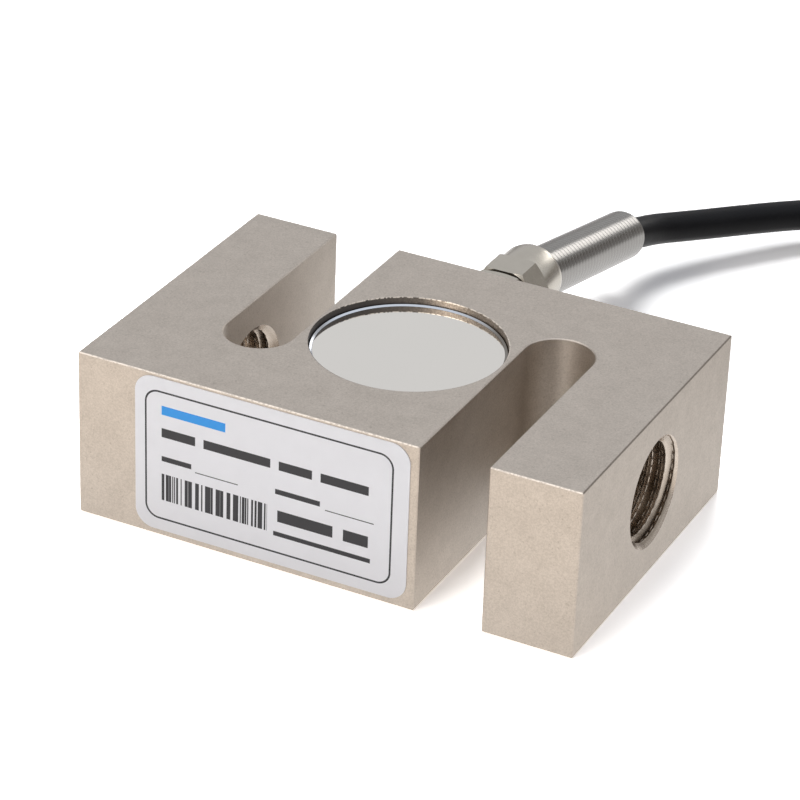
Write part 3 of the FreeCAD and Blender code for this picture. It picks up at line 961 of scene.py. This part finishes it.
def label_finish():
    """White film with its print, in coordinates that lie along the tilted label."""
    made = Finish("label_film", (0.84, 0.84, 0.86), 0.34, Specular_IOR_Level=0.3, Coat_Weight=0.1,
                  Coat_Roughness=0.12)
    moved = made.node("VectorMath", {"operation": "SUBTRACT"},
                      {0: made.place, 1: (label_centre[0], 0.0, label_centre[1])}).outputs[0]
    turned_level = made.node("VectorRotate", {"rotation_type": "Y_AXIS"},
                             {"Vector": moved, "Angle": label_tilt}).outputs[0]
    x, z = made.axis("X", turned_level), made.axis("Z", turned_level)
    edge = rounded_distance(x + 0.4 * mm, z + 0.1 * mm, 19.0, 10.0, 2.0)
    marks = edge.absolute().below(0.14 * mm)
    for low, high in printed_bars:
        marks = marks + inside_box(x, z, low, high)
    marks = (marks + bar_strip(made, x, z)).at_most(1.0)
    paper = made.blend(made.noise(3.0 * mm, detail=2.0), (0.84, 0.84, 0.87), (0.89, 0.89, 0.92))
    tinted = made.blend(inside_box(x, z, *blue_bar), paper, blue_ink)
    made.color(made.blend(marks, tinted, ink))
    return made


def dress(node, finish):
    """Give a CAD node a finish without touching its mesh."""
    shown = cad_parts[node]
    for slot in shown.material_slots:
        slot.material = finish.material
    if not shown.material_slots:
        shown.data.materials.append(finish.material)


dress("rating_label", label_finish())

# %% [markdown]
# ## What the covers hide
#
# Four foil gauges are glued to the thin web between the pockets and wired to a small board,
# and soft gel seals each pocket. None of it shows from outside, but the pieces are real, so
# each gets the finish of its kind.

# %% Hidden pieces
def rubber_finish():
    """Black rubber with a fine matt grain."""
    made = Finish("black_rubber", (0.018, 0.018, 0.018), 0.62)
    made.bump(made.noise(0.4 * mm, detail=2.0), 0.02 * mm)
    return made


def foil_finish():
    """Amber film with darker foil lines across it."""
    made = Finish("gauge_foil", (0.55, 0.28, 0.07), 0.3)
    waves = made.node("TexWave", {"bands_direction": "DIAGONAL"}, {"Vector": made.place, "Scale": 900.0})
    lines = Signal(made, waves.outputs[1]).ramp(0.55, 0.6)
    made.color(made.blend(lines, (0.55, 0.28, 0.07), (0.22, 0.13, 0.07)))
    return made


def board_finish():
    """Green laminate with a faint weave."""
    made = Finish("board_laminate", (0.02, 0.13, 0.05), 0.35)
    made.color(made.blend(made.noise(0.8 * mm, detail=1.0), (0.02, 0.12, 0.045), (0.03, 0.17, 0.07)))
    return made


def enamel_finish():
    """Copper wire under clear brown enamel."""
    made = Finish("enamelled_wire", (0.48, 0.17, 0.06), 0.28, metallic=1.0)
    made.color(made.blend(made.noise(1.0 * mm), (0.42, 0.14, 0.05), (0.55, 0.22, 0.08)))
    return made


def gel_finish():
    """Pale silicone gel, soft and slightly cloudy."""
    made = Finish("potting_gel", (0.70, 0.69, 0.65), 0.25, Subsurface_Weight=0.4, Subsurface_Scale=0.002)
    made.color(made.blend(made.noise(2.5 * mm, detail=2.0), (0.66, 0.65, 0.61), (0.74, 0.73, 0.69)))
    return made


rubber, foil, laminate, enamel, gel = (make() for make in (rubber_finish, foil_finish, board_finish,
                                                           enamel_finish, gel_finish))
hidden = {"gland_seal": rubber, "seal_bush": rubber, "clamp_washer": gland_plate,
          "terminal_board": laminate, "gauge_wires": enamel, "jumper_wires": enamel,
          "top_potting": gel, "bottom_potting": gel}
for level in ("top", "bottom"):
    for place in ("left", "right"):
        hidden[level + "_gauge_" + place] = foil
for name in core_colors:
    hidden["inner_core_" + name] = core_finishes[name]
for node, finish in hidden.items():
    dress(node, finish)

# %% [markdown]
# ## The studio
#
# The floor is a pale sweep. To the camera it is brighter than its own colour, so that the
# ground comes out white and only a faint shadow stays beside the block. A patch behind the
# block is dimmer, which keeps the cable's shadow. Mirror rays see a floor that glows by
# itself: warm in front, pale beside the block and dark far behind it.
#
# The light is a soft box overhead, a warm one in front on the left, and the world. The world
# gives matt surfaces one even tone, and mirror rays a room: a wall, a lit ceiling, a bright
# window at the back and a dusky strip under it. The overhead box is hidden from mirror rays,
# and the room's ceiling stands for it there, since its own image would be far too bright.

# %% Floor and world
def floor_finish():
    """A pale matt floor, brighter for the camera, and with a glow of its own in mirrors."""
    made = Finish("studio_floor", (0.86, 0.86, 0.86), 0.9, Specular_IOR_Level=0.0, Emission_Strength=1.0)
    path = made.node("LightPath")
    seen = Signal(made, path.outputs["Is Camera Ray"])
    mirrored = Signal(made, path.outputs["Is Glossy Ray"])
    mirrored = mirrored.at_least(Signal(made, path.outputs["Is Transmission Ray"]))
    x, y = made.axis("X"), made.axis("Y")
    near_object = (1.0 - x.absolute().ramp(150 * mm, 400 * mm)) * (1.0 - y.ramp(200 * mm, 500 * mm))
    cable_ground = y.ramp(35 * mm, 60 * mm) * near_object
    shade = 0.86 + seen * (1.30 - 0.76 * cable_ground) - mirrored * 0.64
    made.color(made.node("CombineColor", {}, {"Red": shade, "Green": shade, "Blue": shade}).outputs[0])
    in_front = (0.0 - y).ramp(0.0, 80 * mm)
    glow = made.blend(in_front, (0.88, 0.87, 0.86), (1.27, 1.16, 1.04))
    glow = made.blend(y.ramp(112 * mm, 142 * mm), glow, (0.12, 0.105, 0.095))
    made.set(made.surface, "Emission Color", made.blend(mirrored, (0.0, 0.0, 0.0), glow))
    return made


floor_radius, floor_pinhole, floor_drop = 3000.0, 0.1, 0.05


def add_floor():
    """A large flat disc just under the object."""
    turn = np.linspace(0, 2 * np.pi, 96, endpoint=False)
    ring = np.stack([np.cos(turn), np.sin(turn), 0 * turn], axis=-1)
    points = np.stack([ring * floor_radius, ring * floor_pinhole]) * mm
    points[..., 2] = -floor_drop * mm
    floor = bpy.data.objects.new("studio_floor", grid_mesh("studio_floor", points, wrap_columns=True))
    floor.data.materials.append(floor_finish().material)
    bpy.context.scene.collection.objects.link(floor)


class Surroundings(Finish):
    """The world's graph, whose place is the direction in which a ray leaves."""

    def __init__(self, name):
        self.world = bpy.data.worlds.new(name)
        self.world.use_nodes = True
        self.tree = self.world.node_tree
        self.surface = self.tree.nodes["Background"]
        self.place = self.node("TexCoord").outputs["Generated"]


def set_world(ambient, mirrored, ceiling, dusk, window, seen):
    """A world with one colour as soft light, a room for mirror rays and one colour for the eye.

    Each part of the room is a mask over the ray's direction: its rightward, backward and
    upward components, each from -1 to 1.
    """
    made = Surroundings("studio_world")
    path = made.node("LightPath")
    right, back, up = (made.axis(which) for which in "XYZ")
    strip = (1.0 - up.ramp(0.09, 0.17)) * back.ramp(0.1, 0.4) * right.ramp(0.1, 0.35)
    window_height = up.ramp(0.10, 0.16) * (1.0 - up.ramp(0.30, 0.38))
    window_width = 1.0 - (right - 0.10).absolute().ramp(0.12, 0.18)
    room = made.blend(up.ramp(0.56, 0.72), made.blend(strip, mirrored, dusk), ceiling)
    room = made.blend(window_height * window_width * back.ramp(0.5, 0.7), room, window)
    color = made.blend(Signal(made, path.outputs["Is Glossy Ray"]), ambient, room)
    made.set(made.surface, "Color", made.blend(Signal(made, path.outputs["Is Camera Ray"]), color, seen))
    bpy.context.scene.world = made.world


add_floor()
set_world(ambient=(0.365, 0.37, 0.39), mirrored=(0.63, 0.63, 0.635), ceiling=(1.10, 1.14, 1.20),
          dusk=(0.26, 0.24, 0.22), window=(3.3, 3.23, 3.16), seen=(1.0, 1.0, 1.0))


# %% Lamps
def add_softbox(name, place, target, size, power, color, mirrored=True):
    """A square area lamp at a place in metres that faces a target and may be hidden from mirrors."""
    data = bpy.data.lights.new(name, "AREA")
    data.shape = "SQUARE"
    data.size = size
    data.energy = power
    data.color = color
    lamp = bpy.data.objects.new(name, data)
    backward = np.asarray(place, float) - np.asarray(target, float)
    backward /= np.linalg.norm(backward)
    side, other = frame_of(backward)
    matrix = Matrix(np.column_stack([side, other, backward]).tolist()).to_4x4()
    matrix.translation = place
    lamp.matrix_world = matrix
    lamp.visible_glossy = mirrored
    bpy.context.scene.collection.objects.link(lamp)


add_softbox("overhead_box", place=(-0.28, 0.52, 1.12), target=(0, 0, 0), size=0.52, power=9.2,
            color=(1.0, 1.0, 1.0), mirrored=False)
add_softbox("front_box", place=(-0.5, -1.4, 0.9), target=(0, 0, 0.01), size=0.9, power=10.5,
            color=(1.0, 0.94, 0.87))

bpy.context.scene.view_settings.view_transform = "Standard"

# %% [markdown]
# ## The last step
#
# The view layer is brought up to date.

# %% Update
bpy.context.view_layer.update()
